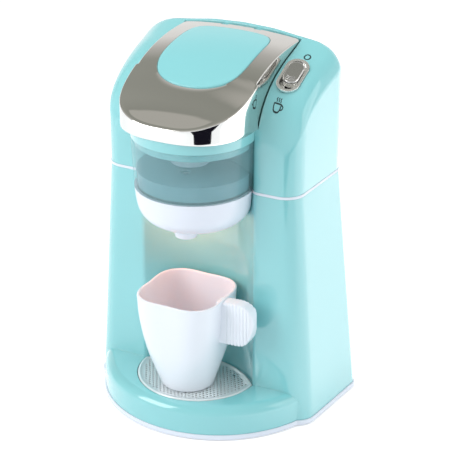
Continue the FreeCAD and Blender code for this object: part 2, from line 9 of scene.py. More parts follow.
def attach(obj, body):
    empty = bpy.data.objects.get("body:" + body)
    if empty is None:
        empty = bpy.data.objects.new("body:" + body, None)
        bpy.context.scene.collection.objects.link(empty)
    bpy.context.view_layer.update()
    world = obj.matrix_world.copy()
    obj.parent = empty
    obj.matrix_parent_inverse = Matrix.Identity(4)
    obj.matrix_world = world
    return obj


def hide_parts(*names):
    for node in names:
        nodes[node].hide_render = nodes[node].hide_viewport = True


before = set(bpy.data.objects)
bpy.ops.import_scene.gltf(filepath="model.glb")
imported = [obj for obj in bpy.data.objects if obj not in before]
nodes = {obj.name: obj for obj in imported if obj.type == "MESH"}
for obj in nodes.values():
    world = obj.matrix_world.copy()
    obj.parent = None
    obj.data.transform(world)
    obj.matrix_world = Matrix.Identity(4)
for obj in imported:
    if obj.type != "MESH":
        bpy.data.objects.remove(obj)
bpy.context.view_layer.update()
print("frame loaded")

mm = 0.001

# Camera at the viewing angle of the product picture
view = {
    "aim": (4.37, 23.1, 104.8), "azimuth": 27.868, "elevation": 24.437, "distance": 1059.1, "lens": 134.76,
    "sensor": 36.0, "near": 0.05, "far": 30.0,
}


def addCamera():
    azimuth = math.radians(view["azimuth"])
    elevation = math.radians(view["elevation"])
    level = math.cos(elevation)
    away = Vector((math.sin(azimuth) * level, -math.cos(azimuth) * level, math.sin(elevation)))
    data = bpy.data.cameras.new("camera")
    data.lens = view["lens"]
    data.sensor_width = view["sensor"]
    data.sensor_fit = "HORIZONTAL"
    data.clip_start = view["near"]
    data.clip_end = view["far"]
    camera = bpy.data.objects.new("camera", data)
    camera.location = (Vector(view["aim"]) + away * view["distance"]) * mm
    camera.rotation_euler = away.to_track_quat("Z", "Y").to_euler()
    bpy.context.scene.collection.objects.link(camera)
    bpy.context.scene.camera = camera


addCamera()
bpy.context.scene.view_settings.view_transform = "Standard"
print("camera set")


# Small helpers for node trees
def tree(material):
    material.use_nodes = True
    material.node_tree.nodes.clear()
    return material.node_tree


def add(nt, kind, **values):
    node = nt.nodes.new(kind)
    for key, value in values.items():
        if hasattr(node, key):
            setattr(node, key, value)
        else:
            node.inputs[key.replace("_", " ")].default_value = value
    return node


def linear(code):
    # From a screen colour such as A5E0E1 to the values the shader takes
    parts = [int(code[i:i + 2], 16) / 255.0 for i in (0, 2, 4)]
    return [c / 12.92 if c <= 0.04045 else ((c + 0.055) / 1.055) ** 2.4 for c in parts] + [1.0]


def addInputs(face, inputs):
    for name, kind, value in inputs:
        socket = face.new_socket(name=name, in_out="INPUT", socket_type="NodeSocket" + kind)
        if value is not None:
            socket.default_value = value


# Moulded skin: slight unevenness of tone and gloss, a faint ripple in the surface, and softened edges
skin = {
    "inputs": (
        ("Tone", "Color", (0.5, 0.5, 0.5, 1.0)), ("Tone Shift", "Float", 0.04), ("Gloss", "Float", 0.25),
        ("Gloss Shift", "Float", 0.06), ("Grain Size", "Float", 900.0), ("Grain Depth", "Float", 0.02),
        ("Ripple Depth", "Float", 0.1), ("Edge", "Float", 0.5 * mm),
    ),
    "outputs": (("Color", "Color"), ("Roughness", "Float"), ("Normal", "Vector")),
    "cloudScale": 22.0, "rippleScale": 60.0, "grainHeight": 0.4 * mm, "rippleHeight": 0.6 * mm,
    "edgeSamples": 6,
}


def makeMouldedSkin():
    group = bpy.data.node_groups.new("mouldedSkin", "ShaderNodeTree")
    face = group.interface
    addInputs(face, skin["inputs"])
    for name, kind in skin["outputs"]:
        face.new_socket(name=name, in_out="OUTPUT", socket_type="NodeSocket" + kind)
    start = add(group, "NodeGroupInput")
    end = add(group, "NodeGroupOutput")
    place = add(group, "ShaderNodeTexCoord")
    link = group.links.new
    cloud = add(group, "ShaderNodeTexNoise", Scale=skin["cloudScale"], Detail=3.0, Roughness=0.55)
    fine = add(group, "ShaderNodeTexNoise", Detail=2.0, Roughness=0.5)
    ripple = add(group, "ShaderNodeTexNoise", Scale=skin["rippleScale"], Detail=1.0, Roughness=0.4)
    for node in (cloud, fine, ripple):
        link(place.outputs["Object"], node.inputs["Vector"])
    link(start.outputs["Grain Size"], fine.inputs["Scale"])
    # tone
    shift = add(group, "ShaderNodeMath", operation="MULTIPLY_ADD")
    centred = add(group, "ShaderNodeMath", operation="SUBTRACT")
    centred.inputs[1].default_value = 0.5
    link(cloud.outputs["Fac"], centred.inputs[0])
    link(centred.outputs[0], shift.inputs[0])
    link(start.outputs["Tone Shift"], shift.inputs[1])
    shift.inputs[2].default_value = 1.0
    scaled = add(group, "ShaderNodeVectorMath", operation="SCALE")
    link(start.outputs["Tone"], scaled.inputs[0])
    link(shift.outputs[0], scaled.inputs["Scale"])
    link(scaled.outputs["Vector"], end.inputs["Color"])
    # gloss
    gloss = add(group, "ShaderNodeMath", operation="MULTIPLY_ADD")
    link(centred.outputs[0], gloss.inputs[0])
    link(start.outputs["Gloss Shift"], gloss.inputs[1])
    link(start.outputs["Gloss"], gloss.inputs[2])
    link(gloss.outputs[0], end.inputs["Roughness"])
    # surface
    soft = add(group, "ShaderNodeBevel", samples=skin["edgeSamples"])
    link(start.outputs["Edge"], soft.inputs["Radius"])
    first = add(group, "ShaderNodeBump", Distance=skin["grainHeight"])
    link(soft.outputs["Normal"], first.inputs["Normal"])
    link(start.outputs["Grain Depth"], first.inputs["Strength"])
    link(fine.outputs["Fac"], first.inputs["Height"])
    second = add(group, "ShaderNodeBump", Distance=skin["rippleHeight"])
    link(start.outputs["Ripple Depth"], second.inputs["Strength"])
    link(ripple.outputs["Fac"], second.inputs["Height"])
    link(first.outputs["Normal"], second.inputs["Normal"])
    link(second.outputs["Normal"], end.inputs["Normal"])
    return group


mouldedSkin = makeMouldedSkin()


def plastic(name, code, gloss=0.22, coat=0.0, toneShift=0.03, ripple=0.05, grain=0.02, metallic=0.0,
            ior=1.5, edge=0.5):
    material = bpy.data.materials.new(name)
    nt = tree(material)
    moulded = add(nt, "ShaderNodeGroup", node_tree=mouldedSkin)
    values = {
        "Tone": linear(code), "Tone Shift": toneShift, "Gloss": gloss, "Grain Depth": grain,
        "Ripple Depth": ripple, "Edge": edge * mm,
    }
    for key, value in values.items():
        moulded.inputs[key].default_value = value
    shader = add(nt, "ShaderNodeBsdfPrincipled", Metallic=metallic, IOR=ior, Coat_Weight=coat,
                 Coat_Roughness=0.05)
    out = add(nt, "ShaderNodeOutputMaterial")
    nt.links.new(moulded.outputs["Color"], shader.inputs["Base Color"])
    nt.links.new(moulded.outputs["Roughness"], shader.inputs["Roughness"])
    nt.links.new(moulded.outputs["Normal"], shader.inputs["Normal"])
    nt.links.new(shader.outputs["BSDF"], out.inputs["Surface"])
    return material


def clearPlastic(name, code, roughness=0.03, ior=1.45, weight=1.0):
    material = plastic(name, code, gloss=roughness, ripple=0.03, grain=0.0, ior=ior)
    shader = material.node_tree.nodes["Principled BSDF"]
    shader.inputs["Transmission Weight"].default_value = weight
    return material


def smokyPlastic(name, code, alpha):
    material = plastic(name, code, gloss=0.06, ripple=0.03, grain=0.0)
    material.node_tree.nodes["Principled BSDF"].inputs["Alpha"].default_value = alpha
    return material


materials = {
    "mint": plastic("mintHousing", "8AD1D4", gloss=0.14, ripple=0.05, coat=1.0, edge=0.9),
    "panel": plastic("mintPanel", "8ACFD2", gloss=0.22, ripple=0.04),
    "print": plastic("darkPrint", "1B3336", gloss=0.5, grain=0.0),
    "white": plastic("whitePlastic", "E9EEF8", gloss=0.25),
    "cup": plastic("whiteCup", "EEF3FA", gloss=0.25, ripple=0.0, grain=0.01, toneShift=0.01),
    "chrome": plastic("brightChrome", "DCDBD8", gloss=0.05, metallic=1.0, ripple=0.02, grain=0.0),
    "button": plastic("satinButton", "C9C9C8", gloss=0.18, metallic=1.0, ripple=0.02, grain=0.0),
    "well": plastic("brightWell", "F0F0EE", gloss=0.14, metallic=0.9, ripple=0.0, grain=0.0),
    "smoke": smokyPlastic("smokyTank", "A6D6DC", 0.24),
    "smokeFloor": smokyPlastic("smokyTankFloor", "7FB0BC", 0.7),
    "silver": plastic("silverGrille", "EEF4F5", gloss=0.2, metallic=0.3, grain=0.02, edge=0.2),
    "grey": plastic("greyPlastic", "9A9D9F", gloss=0.3),
    "black": plastic("blackPlastic", "1B1C1E", gloss=0.45),
    "rubber": plastic("blackRubber", "202020", gloss=0.7, grain=0.2),
    "steel": plastic("screwSteel", "B4B4B2", gloss=0.28, metallic=1.0),
    "board": plastic("greenBoard", "1F5A32", gloss=0.35),
    "cell": plastic("cellSleeve", "3A3A40", gloss=0.3),
    "lens": clearPlastic("amberLens", "FFD9A0", roughness=0.15, weight=0.6),
}
lampLens = materials["lens"].node_tree.nodes["Principled BSDF"]
lampLens.inputs["Emission Color"].default_value = linear("FFC489")
lampLens.inputs["Emission Strength"].default_value = 2.5
finish = {
    "mint": ("lower_housing", "tray_well", "upper_housing", "head_collar", "battery_door"),
    "panel": ("lid_inlay",),
    "white": ("base_plate", "seam_band", "fill_funnel", "tank_base", "outlet_nozzle", "valve_stem"),
    "cup": ("cup",),
    "chrome": ("lid_shell",),
    "button": ("switch_cap",),
    "well": ("switch_bezel", "switch_slider"),
    "smoke": ("tank_shell",),
    "smokeFloor": ("tank_floor",),
    "silver": ("tray_grille",),
    "grey": ("tray_dish",),
    "black": ("switch_block", "board_posts", "battery_box"),
    "rubber": ("foot_pads", "tank_seal", "valve_seal"),
    "steel": ("base_screws", "lid_hinge_pin", "battery_springs", "battery_contacts", "battery_door_screw"),
    "board": ("lamp_board", "circuit_board"),
    "cell": ("battery_cells",),
    "lens": ("lamp_lens",),
}
for material, names in finish.items():
    for name in names:
        nodes[name].data.materials.clear()
        nodes[name].data.materials.append(materials[material])
print("materials made")


# Small mesh helpers
def hermite(table, x):
    # Smooth curve through a table of (x, value)
    last = len(table) - 1
    if x <= table[0][0]:
        return table[0][1]
    if x >= table[last][0]:
        return table[last][1]
    i = max(k for k in range(last) if table[k][0] <= x)

    def slope(k):
        a = table[max(k - 1, 0)]
        b = table[min(k + 1, last)]
        return (b[1] - a[1]) / (b[0] - a[0])

    x0, y0 = table[i]
    x1, y1 = table[i + 1]
    h = x1 - x0
    t = (x - x0) / h
    return ((1 + 2 * t) * (1 - t) ** 2 * y0 + t * (1 - t) ** 2 * h * slope(i)
            + t * t * (3 - 2 * t) * y1 + t * t * (t - 1) * h * slope(i + 1))


def makePiece(name, points, faces, material, body, slot, stands=(), sharp=38.0):
    mesh = bpy.data.meshes.new(name)
    bm = bmesh.new()
    verts = [bm.verts.new([c * mm for c in p]) for p in points]
    for face in faces:
        bm.faces.new([verts[i] for i in face])
    finishPiece(mesh, bm, material, sharp)
    obj = bpy.data.objects.new(name, mesh)
    bpy.context.scene.collection.objects.link(obj)
    place(obj, body, slot, stands)
    return obj


def finishPiece(mesh, bm, material, sharp):
    bmesh.ops.remove_doubles(bm, verts=bm.verts, dist=0.004 * mm)
    bmesh.ops.recalc_face_normals(bm, faces=bm.faces)
    for face in bm.faces:
        face.smooth = True
    for edge in bm.edges:
        edge.smooth = len(edge.link_faces) == 2 and edge.calc_face_angle() < math.radians(sharp)
    bm.to_mesh(mesh)
    bm.free()
    mesh.materials.clear()
    mesh.materials.append(materials[material])


def place(obj, body, slot, stands=()):
    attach(obj, body)
    if stands:
        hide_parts(*stands)


def ringFaces(count, rings, ends=True):
    # Quads between rings of equal count; the first and last ring are closed with a fan to their middle
    faces = []
    for r in range(rings - 1):
        for i in range(count):
            j = (i + 1) % count
            faces.append((r * count + i, r * count + j, (r + 1) * count + j, (r + 1) * count + i))
    if ends:
        low = rings * count
        for i in range(count):
            j = (i + 1) % count
            faces.append((low, j, i))
            faces.append((low + 1, (rings - 1) * count + i, (rings - 1) * count + j))
    return faces


def middle(ring):
    return tuple(sum(p[k] for p in ring) / len(ring) for k in range(3))


def ringPiece(name, rings, material, body, slot, stands=(), sharp=38.0, ends=None):
    points = [p for ring in rings for p in ring]
    points += list(ends) if ends else [middle(rings[0]), middle(rings[-1])]
    return makePiece(name, points, ringFaces(len(rings[0]), len(rings)), material, body, slot, stands, sharp)


def inset(outline, distance):
    # Moves a closed outline inwards, outline given anticlockwise seen from above
    result = []
    for i, (x, y) in enumerate(outline):
        ax, ay = outline[i - 1]
        bx, by = outline[(i + 1) % len(outline)]
        dx, dy = bx - ax, by - ay
        length = math.hypot(dx, dy)
        result.append((x - dy / length * distance, y + dx / length * distance))
    return result


def closedCurve(points, steps):
    # Smooth closed curve through the points
    result = []
    count = len(points)
    for i in range(count):
        p0, p1, p2, p3 = (points[(i + k) % count] for k in (-1, 0, 1, 2))
        for s in range(steps):
            t = s / steps
            point = []
            for a, b, c, d in zip(p0, p1, p2, p3):
                square = (2 * a - 5 * b + 4 * c - d) * t * t
                cube = (3 * b - a - 3 * c + d) * t ** 3
                point.append(0.5 * (2 * b + (c - a) * t + square + cube))
            result.append(tuple(point))
    return result


def along(centre, target, outline):
    # Where the ray from centre through target crosses the outline
    dx, dy = target[0] - centre[0], target[1] - centre[1]
    best = 0.0
    for (ax, ay), (bx, by) in zip(outline, outline[1:] + outline[:1]):
        ex, ey = bx - ax, by - ay
        det = dx * ey - dy * ex
        if abs(det) < 1e-9:
            continue
        t = ((ax - centre[0]) * ey - (ay - centre[1]) * ex) / det
        u = ((ax - centre[0]) * dy - (ay - centre[1]) * dx) / det
        if t > 0 and -1e-6 <= u <= 1 + 1e-6:
            best = max(best, t)
    return (centre[0] + dx * best, centre[1] + dy * best)


# Lid: bright shell with a pocket, and the coloured panel in it
lid = {
    "profile": [(-66.0, 188.0), (-53.8, 196.8), (-45.0, 202.4), (-30.3, 208.9), (-15.7, 215.9), (-3.4, 221.6),
                (9.1, 225.3), (22.0, 227.5), (35.1, 228.4), (48.0, 228.5)],
    "skirt": [(-60.0, 188.7), (-4.0, 188.7), (6.0, 199.0), (30.0, 210.0), (60.0, 216.0)],
    "panel": [(0.0, -23.4), (8.0, -22.7), (16.0, -19.9), (22.4, -15.2), (26.2, -9.0), (27.8, -1.5),
              (28.0, 9.0), (27.6, 21.0), (26.7, 30.0), (23.6, 36.2), (16.5, 38.7), (0.0, 39.2)],
    "crown": 2.6, "crownHalf": 38.0, "half": 38.8, "frontHalf": 40.2, "start": -11.0, "nose": -53.8,
    "power": 2.6, "back": 47.2, "corner": 3.0, "wall": 2.4, "skin": 2.6, "round": 0.9, "middle": (0.0, 5.0),
    "pocket": 1.2, "panelRise": 0.45, "panelRim": 0.8, "panelGap": 0.15, "skirtRound": 0.3, "sharp": 50.0,
    "barrels": [(-13.0, -9.0), (9.0, 13.0)], "barrelGap": 0.3, "notch": (44.9, 50.0, 205.0, 240.0),
}


def linearTable(table, x):
    for (x0, y0), (x1, y1) in zip(table, table[1:]):
        if x <= x1:
            return y0 + (y1 - y0) * max(x - x0, 0.0) / (x1 - x0)
    return table[-1][1]


def lidTop(x, y):
    return hermite(lid["profile"], y) - lid["crown"] * (x / lid["crownHalf"]) ** 2


def lidOutline():
    points = []
    for i in range(7):
        a = math.radians(90.0 * i / 6)
        points.append((lid["half"] - lid["corner"] * (1 - math.sin(a)),
                       lid["back"] - lid["corner"] * (1 - math.cos(a))))
    right = list(points)
    y = lid["back"] - lid["corner"] - 2.5
    while y > lid["start"] + 2.6:
        right.append((lid["half"], y))
        y -= 2.5
    right.append((lid["half"], lid["start"] + 1.6))
    right.append((lid["half"] + 0.2, lid["start"] + 1.2))
    right.append((lid["frontHalf"] - 0.2, lid["start"] + 0.8))
    count = 46
    for i in range(count + 1):
        a = 0.5 * math.pi * i / count
        c, s = math.cos(a), math.sin(a)
        right.append((lid["frontHalf"] * c ** (2.0 / lid["power"]),
                      lid["start"] + (lid["nose"] - lid["start"]) * s ** (2.0 / lid["power"])))
    # Points closer than 0.35 mm are thinned out, and the half is mirrored
    kept = [right[0]]
    for p in right[1:]:
        if math.dist(p, kept[-1]) > 0.35:
            kept.append(p)
    kept[-1] = (0.0, lid["nose"])
    backRow = [(x, lid["back"]) for x in (30.0, 24.0, 18.0, 12.0, 6.0, 0.0)]
    half = list(reversed(kept)) + backRow
    return half + [(-x, y) for x, y in reversed(half[1:-1])]


def buildLid():
    outer = lidOutline()
    panel = closedCurve(lid["panel"] + [(-x, y) for x, y in reversed(lid["panel"][1:-1])], 8)
    centre = lid["middle"]
    inner = [along(centre, p, panel) for p in outer]
    rings = []

    def blend(share, ring, lower):
        points = []
        for (ax, ay), (bx, by) in zip(inner, ring):
            x, y = ax + (bx - ax) * share, ay + (by - ay) * share
            points.append((x, y, lidTop(x, y) - lower))
        return points

    def scaled(share, lower):
        points = []
        for x, y in inner:
            x, y = centre[0] + (x - centre[0]) * share, centre[1] + (y - centre[1]) * share
            points.append((x, y, lidTop(x, y) - lower))
        return points

    for share in (0.15, 0.4, 0.7, 1.0):
        rings.append(scaled(share, lid["pocket"]))
    rings.append(scaled(1.0, 0.25))
    edge = inset(outer, lid["round"])
    for share in (0.012, 0.12, 0.28, 0.45, 0.62, 0.8, 0.93, 1.0):
        rings.append(blend(share, edge, 0.0))
    for i in range(1, 6):
        a = math.radians(18.0 * i)
        ring = inset(outer, lid["round"] * (1 - math.sin(a)))
        rings.append([(x, y, lidTop(*p) - lid["round"] * (1 - math.cos(a))) for (x, y), p in zip(ring, edge)])
    def skirtRing(outline):
        return [(x, y, linearTable(lid["skirt"], p[1])) for (x, y), p in zip(outline, outer)]

    for share in (0.25, 0.5, 0.75, 1.0):
        rings.append([(x, y, z + (linearTable(lid["skirt"], y) + lid["skirtRound"] - z) * share)
                      for x, y, z in rings[-1]])
    rings.append(skirtRing(inset(outer, lid["skirtRound"])))
    wall = inset(outer, lid["wall"])
    rings.append(skirtRing(wall))
    rings.append([(x, y, min(lidTop(x, y), lidTop(*p)) - lid["skin"] - 0.4)
                  for (x, y), p in zip(wall, outer)])
    for share in (0.7, 0.35, 0.0):
        rings.append(blend(share, wall, lid["skin"]))
    for share in (0.6, 0.2):
        rings.append(scaled(share, lid["skin"]))
    high = lidTop(*centre)
    ends = [(*centre, high - lid["pocket"]), (*centre, high - lid["skin"])]
    shell = ringPiece("lidShell", rings, "chrome", "lid", "chrome", ("lid_shell",), lid["sharp"], ends)
    rise, rim, gap, low = lid["panelRise"], lid["panelRim"], lid["panelGap"], lid["pocket"] - 0.02
    panelRings = [scaled(share, -rise) for share in (0.1, 0.35, 0.6, 0.8, 0.92)]
    flat = [(x, y) for x, y, z in scaled(1.0, 0.0)]
    for i in range(6):
        a = math.radians(18.0 * i)
        ring = inset(flat, gap + rim * (1 - math.sin(a)))
        panelRings.append([(x, y, lidTop(x, y) + rise - rim * (1 - math.cos(a))) for x, y in ring])
    panelRings.append([(x, y, lidTop(x, y) - low) for x, y in inset(flat, gap)])
    panelRings.append(scaled(0.3, low))
    panelEnds = [(*centre, high + rise), (*centre, high - low)]
    ringPiece("lidPanel", panelRings, "panel", "lid", "mint_panel", ("lid_inlay",), 60.0, panelEnds)
    return shell


def cutBoxes(obj, boxes, material):
    # Takes plain notches out of a piece
    bm = bmesh.new()
    for x0, x1, y0, y1, z0, z1 in boxes:
        made = bmesh.ops.create_cube(bm, size=1.0)
        for v in made["verts"]:
            x = (x0 + x1) / 2 + v.co.x * (x1 - x0)
            y = (y0 + y1) / 2 + v.co.y * (y1 - y0)
            z = (z0 + z1) / 2 + v.co.z * (z1 - z0)
            v.co = Vector((x, y, z)) * mm
    mesh = bpy.data.meshes.new("notches")
    bm.to_mesh(mesh)
    bm.free()
    cutter = bpy.data.objects.new("notches", mesh)
    bpy.context.scene.collection.objects.link(cutter)
    modifier = obj.modifiers.new("notch", "BOOLEAN")
    modifier.operation = "DIFFERENCE"
    modifier.solver = "EXACT"
    modifier.object = cutter
    bpy.context.view_layer.update()
    cut = bpy.data.meshes.new_from_object(obj.evaluated_get(bpy.context.evaluated_depsgraph_get()))
    obj.modifiers.clear()
    old = obj.data
    obj.data = cut
    cut.name = obj.name
    bpy.data.meshes.remove(old)
    bpy.data.objects.remove(cutter)
    bpy.data.meshes.remove(mesh)
    bm = bmesh.new()
    bm.from_mesh(cut)
    finishPiece(cut, bm, material, lid["sharp"])


shell = buildLid()
gap = lid["barrelGap"]
cutBoxes(shell, [(x0 - gap, x1 + gap, *lid["notch"]) for x0, x1 in lid["barrels"]], "chrome")
print("lid built")

# Cup: rounded square rim over a round foot, rounded lip, ribbed fin as handle
cup = {
    "half": [(0.0, 16.2), (0.07, 17.4), (0.17, 19.2), (0.41, 22.8), (0.74, 25.4), (1.0, 26.1)],
    "square": [(0.0, 0.0), (0.07, 0.1), (0.17, 0.4), (0.41, 1.2), (0.74, 2.0), (1.0, 2.3)],
    "y": -23.8, "foot": 22.0, "height": 61.8, "wall": 1.8, "lip": 0.85, "floor": 2.6, "count": 96,
    "footRound": 0.9, "footHollow": 0.8, "floorRound": 2.4, "sideRings": 18,
}
fin = {
    "top": [(22.0, 82.3), (30.0, 83.0), (36.0, 83.3), (40.5, 82.3), (43.8, 79.8), (45.5, 76.0), (46.0, 71.4)],
    "bottom": [(22.0, 55.2), (30.0, 55.4), (37.6, 55.9), (41.4, 57.7), (44.0, 61.8), (45.4, 66.6),
               (46.0, 71.4)],
    "start": 22.0, "end": 46.0, "half": 4.6, "ribPitch": 2.3, "ribDepth": 0.55, "ribStart": 29.0,
    "ribEnd": 45.0, "tips": [45.0, 45.3, 45.55, 45.75, 45.9, 45.97], "corner": 1.4, "fade": 2.2,
}


def cupRing(share, inwards):
    flat = hermite(cup["half"], share)
    square = hermite(cup["square"], share)
    z = cup["foot"] + cup["height"] * share
    ring = []
    for i in range(cup["count"]):
        a = 2 * math.pi * i / cup["count"]
        r = flat + square * (1 - math.cos(4 * a)) - inwards
        ring.append((r * math.cos(a), cup["y"] + r * math.sin(a), z))
    return ring


def buildCup():
    height, lip, wall, count = cup["height"], cup["lip"], cup["wall"], cup["sideRings"]
    rings = [[(x, y, z + cup["footHollow"]) for x, y, z in cupRing(0.0, 9.0)], cupRing(0.0, 3.2)]
    for i in range(6):
        a = math.radians(18.0 * i)
        share = cup["footRound"] * (1 - math.cos(a)) / height
        rings.append(cupRing(share, cup["footRound"] * (1 - math.sin(a))))
    start = 0.016
    for i in range(1, count + 1):
        rings.append(cupRing(start + (1.0 - start - lip / height) * i / count, 0.0))
    for i in range(1, 12):
        a = math.radians(180.0 * i / 12)
        share = 1.0 - (lip - lip * math.sin(a)) / height
        rings.append(cupRing(share, wall / 2.0 - wall / 2.0 * math.cos(a)))
    low = cup["floor"] / height
    start = low + 0.04
    for i in range(count, -1, -1):
        rings.append(cupRing(start + (1.0 - start - lip / height) * i / count, wall))
    for angle in (30.0, 60.0, 90.0):
        a = math.radians(angle)
        rings.append(cupRing(low + 0.04 * (1 - math.sin(a)), wall + cup["floorRound"] * (1 - math.cos(a))))
    rings.append(cupRing(low, 10.0))
    ringPiece("cupBody", rings, "cup", "cup", "cup_white", ("cup",))


def finRing(x):
    # One section across the fin; the ribs narrow it in waves
    high = hermite(fin["top"], x)
    low = hermite(fin["bottom"], x)
    fade = max(0.0, min(1.0, (fin["end"] - x) / fin["fade"]))
    half = max(fin["half"] * math.sqrt(1 - (1 - fade) ** 2), 0.6)
    rib = 0.0
    if fin["ribStart"] < x < fin["ribEnd"]:
        wave = 0.5 - 0.5 * math.cos(2 * math.pi * (x - fin["ribStart"]) / fin["ribPitch"])
        rib = fin["ribDepth"] * (1.0 - wave) ** 3
    centreZ, halfZ = (high + low) / 2, max((high - low) / 2, 0.4)
    corner = min(fin["corner"], halfZ * 0.9, half * 0.9)
    ring = []
    for cx, cz, a0 in ((1, 1, 0), (-1, 1, 90), (-1, -1, 180), (1, -1, 270)):
        for k in range(7):
            a = math.radians(a0 + 15.0 * k)
            y = cx * (half - corner) + corner * math.cos(a)
            z = cz * (halfZ - corner) + corner * math.sin(a)
            y -= math.copysign(min(rib, half * 0.5), y) if abs(y) > 0.5 else 0.0
            if z < -halfZ + corner:
                z += rib * 0.8
            ring.append((x, cup["y"] + y, centreZ + z))
    return ring


def buildFin():
    stations = []
    x = fin["start"]
    while x < fin["ribEnd"]:
        stations.append(x)
        x += fin["ribPitch"] / 8.0
    rings = [finRing(x) for x in stations + fin["tips"]]
    ringPiece("cupFin", rings, "cup", "cup", "cup_white", (), 60.0)


buildCup()
buildFin()
print("cup built")

# Drip tray grille: rounded rim and a field of round holes
grille = {
    "y": -10.3, "radius": 37.6, "bayY": -40.4, "bay": 47.6, "low": 20.6, "high": 22.0, "rim": 2.2,
    "pitch": 2.5, "hole": 0.72, "margin": 1.3, "firstRow": -49.0, "columns": 34, "rows": 28,
    "drillSides": 12, "drillDepth": 4.0, "cupY": -23.8, "cupClear": 15.2,
}


def arc(radius, centreY, start, end, steps):
    points = []
    for i in range(steps):
        a = start + (end - start) * i / steps
        points.append((radius * math.cos(a), centreY + radius * math.sin(a)))
    return points


def grilleOutline(margin, steps=46):
    # Between the front circle and the bay circle, drawn in by margin
    a = grille["radius"] - margin
    b = grille["bay"] - margin
    gap = grille["y"] - grille["bayY"]
    yc = (b * b - a * a + gap * gap) / (2 * gap) + grille["bayY"]
    xc = math.sqrt(b * b - (yc - grille["bayY"]) ** 2)
    start = math.atan2(yc - grille["bayY"], xc)
    turn = math.atan2(yc - grille["y"], -xc)
    if turn < 0:
        turn += 2 * math.pi
    end = 2 * math.pi + math.atan2(yc - grille["y"], xc)
    back = arc(b, grille["bayY"], start, math.pi - start, steps)
    return back + arc(a, grille["y"], turn, end, 2 * steps)


def holeField():
    # Plate in, plate with round holes out
    group = bpy.data.node_groups.new("holeField", "GeometryNodeTree")
    face = group.interface
    face.new_socket(name="Geometry", in_out="INPUT", socket_type="NodeSocketGeometry")
    edge = grille["rim"] + grille["margin"]
    addInputs(face, (
        ("Pitch", "Float", grille["pitch"] * mm), ("Hole Radius", "Float", grille["hole"] * mm),
        ("Front Radius", "Float", (grille["radius"] - edge) * mm),
        ("Bay Radius", "Float", (grille["bay"] - edge) * mm),
        ("Cup Radius", "Float", grille["cupClear"] * mm), ("Columns", "Int", grille["columns"]),
        ("Rows", "Int", grille["rows"]), ("Material", "Material", None),
    ))
    face.new_socket(name="Geometry", in_out="OUTPUT", socket_type="NodeSocketGeometry")
    link = group.links.new
    start = add(group, "NodeGroupInput")
    end = add(group, "NodeGroupOutput")

    def maths(operation, a, b=None):
        node = add(group, "ShaderNodeMath", operation=operation)
        for k, value in enumerate((a, b)):
            if value is None:
                continue
            if isinstance(value, (int, float)):
                node.inputs[k].default_value = value
            else:
                link(value, node.inputs[k])
        return node.outputs[0]

    index = add(group, "GeometryNodeInputIndex").outputs[0]
    row = maths("FLOOR", maths("DIVIDE", index, start.outputs["Columns"]))
    column = maths("MODULO", index, start.outputs["Columns"])
    shift = maths("MULTIPLY", maths("MODULO", row, 2.0), 0.5)
    middleColumn = maths("MULTIPLY", start.outputs["Columns"], 0.5)
    pitch = start.outputs["Pitch"]
    x = maths("MULTIPLY", maths("SUBTRACT", maths("ADD", column, shift), middleColumn), pitch)
    y = maths("ADD", maths("MULTIPLY", maths("MULTIPLY", row, pitch), 0.866), grille["firstRow"] * mm)
    count = maths("MULTIPLY", start.outputs["Columns"], start.outputs["Rows"])
    spot = add(group, "ShaderNodeCombineXYZ")
    link(x, spot.inputs[0])
    link(y, spot.inputs[1])
    spot.inputs[2].default_value = (grille["high"] + grille["low"]) / 2 * mm
    points = add(group, "GeometryNodePoints")
    link(count, points.inputs["Count"])
    link(spot.outputs[0], points.inputs["Position"])

    def far(centreY, radius, keepInside):
        across = maths("MULTIPLY", x, x)
        up = maths("SUBTRACT", y, centreY * mm)
        distance = maths("SQRT", maths("ADD", across, maths("MULTIPLY", up, up)))
        return maths("GREATER_THAN" if keepInside else "LESS_THAN", distance, radius)

    out = maths("MAXIMUM", maths("MAXIMUM", far(grille["y"], start.outputs["Front Radius"], True),
                                 far(grille["bayY"], start.outputs["Bay Radius"], True)),
                far(grille["cupY"], start.outputs["Cup Radius"], False))
    drop = add(group, "GeometryNodeDeleteGeometry", domain="POINT")
    link(points.outputs[0], drop.inputs["Geometry"])
    link(out, drop.inputs["Selection"])
    drill = add(group, "GeometryNodeMeshCylinder")
    drill.inputs["Vertices"].default_value = grille["drillSides"]
    drill.inputs["Depth"].default_value = grille["drillDepth"] * mm
    link(start.outputs["Hole Radius"], drill.inputs["Radius"])
    spread = add(group, "GeometryNodeInstanceOnPoints")
    link(drop.outputs[0], spread.inputs["Points"])
    link(drill.outputs["Mesh"], spread.inputs["Instance"])
    real = add(group, "GeometryNodeRealizeInstances")
    link(spread.outputs[0], real.inputs[0])
    cut = add(group, "GeometryNodeMeshBoolean", operation="DIFFERENCE")
    cut.solver = "EXACT"
    link(start.outputs["Geometry"], cut.inputs["Mesh 1"])
    link(real.outputs[0], cut.inputs["Mesh 2"])
    whole = add(group, "GeometryNodeRealizeInstances")
    link(cut.outputs["Mesh"], whole.inputs[0])
    paint = add(group, "GeometryNodeSetMaterial")
    link(whole.outputs[0], paint.inputs["Geometry"])
    link(start.outputs["Material"], paint.inputs["Material"])
    link(paint.outputs[0], end.inputs[0])
    return group


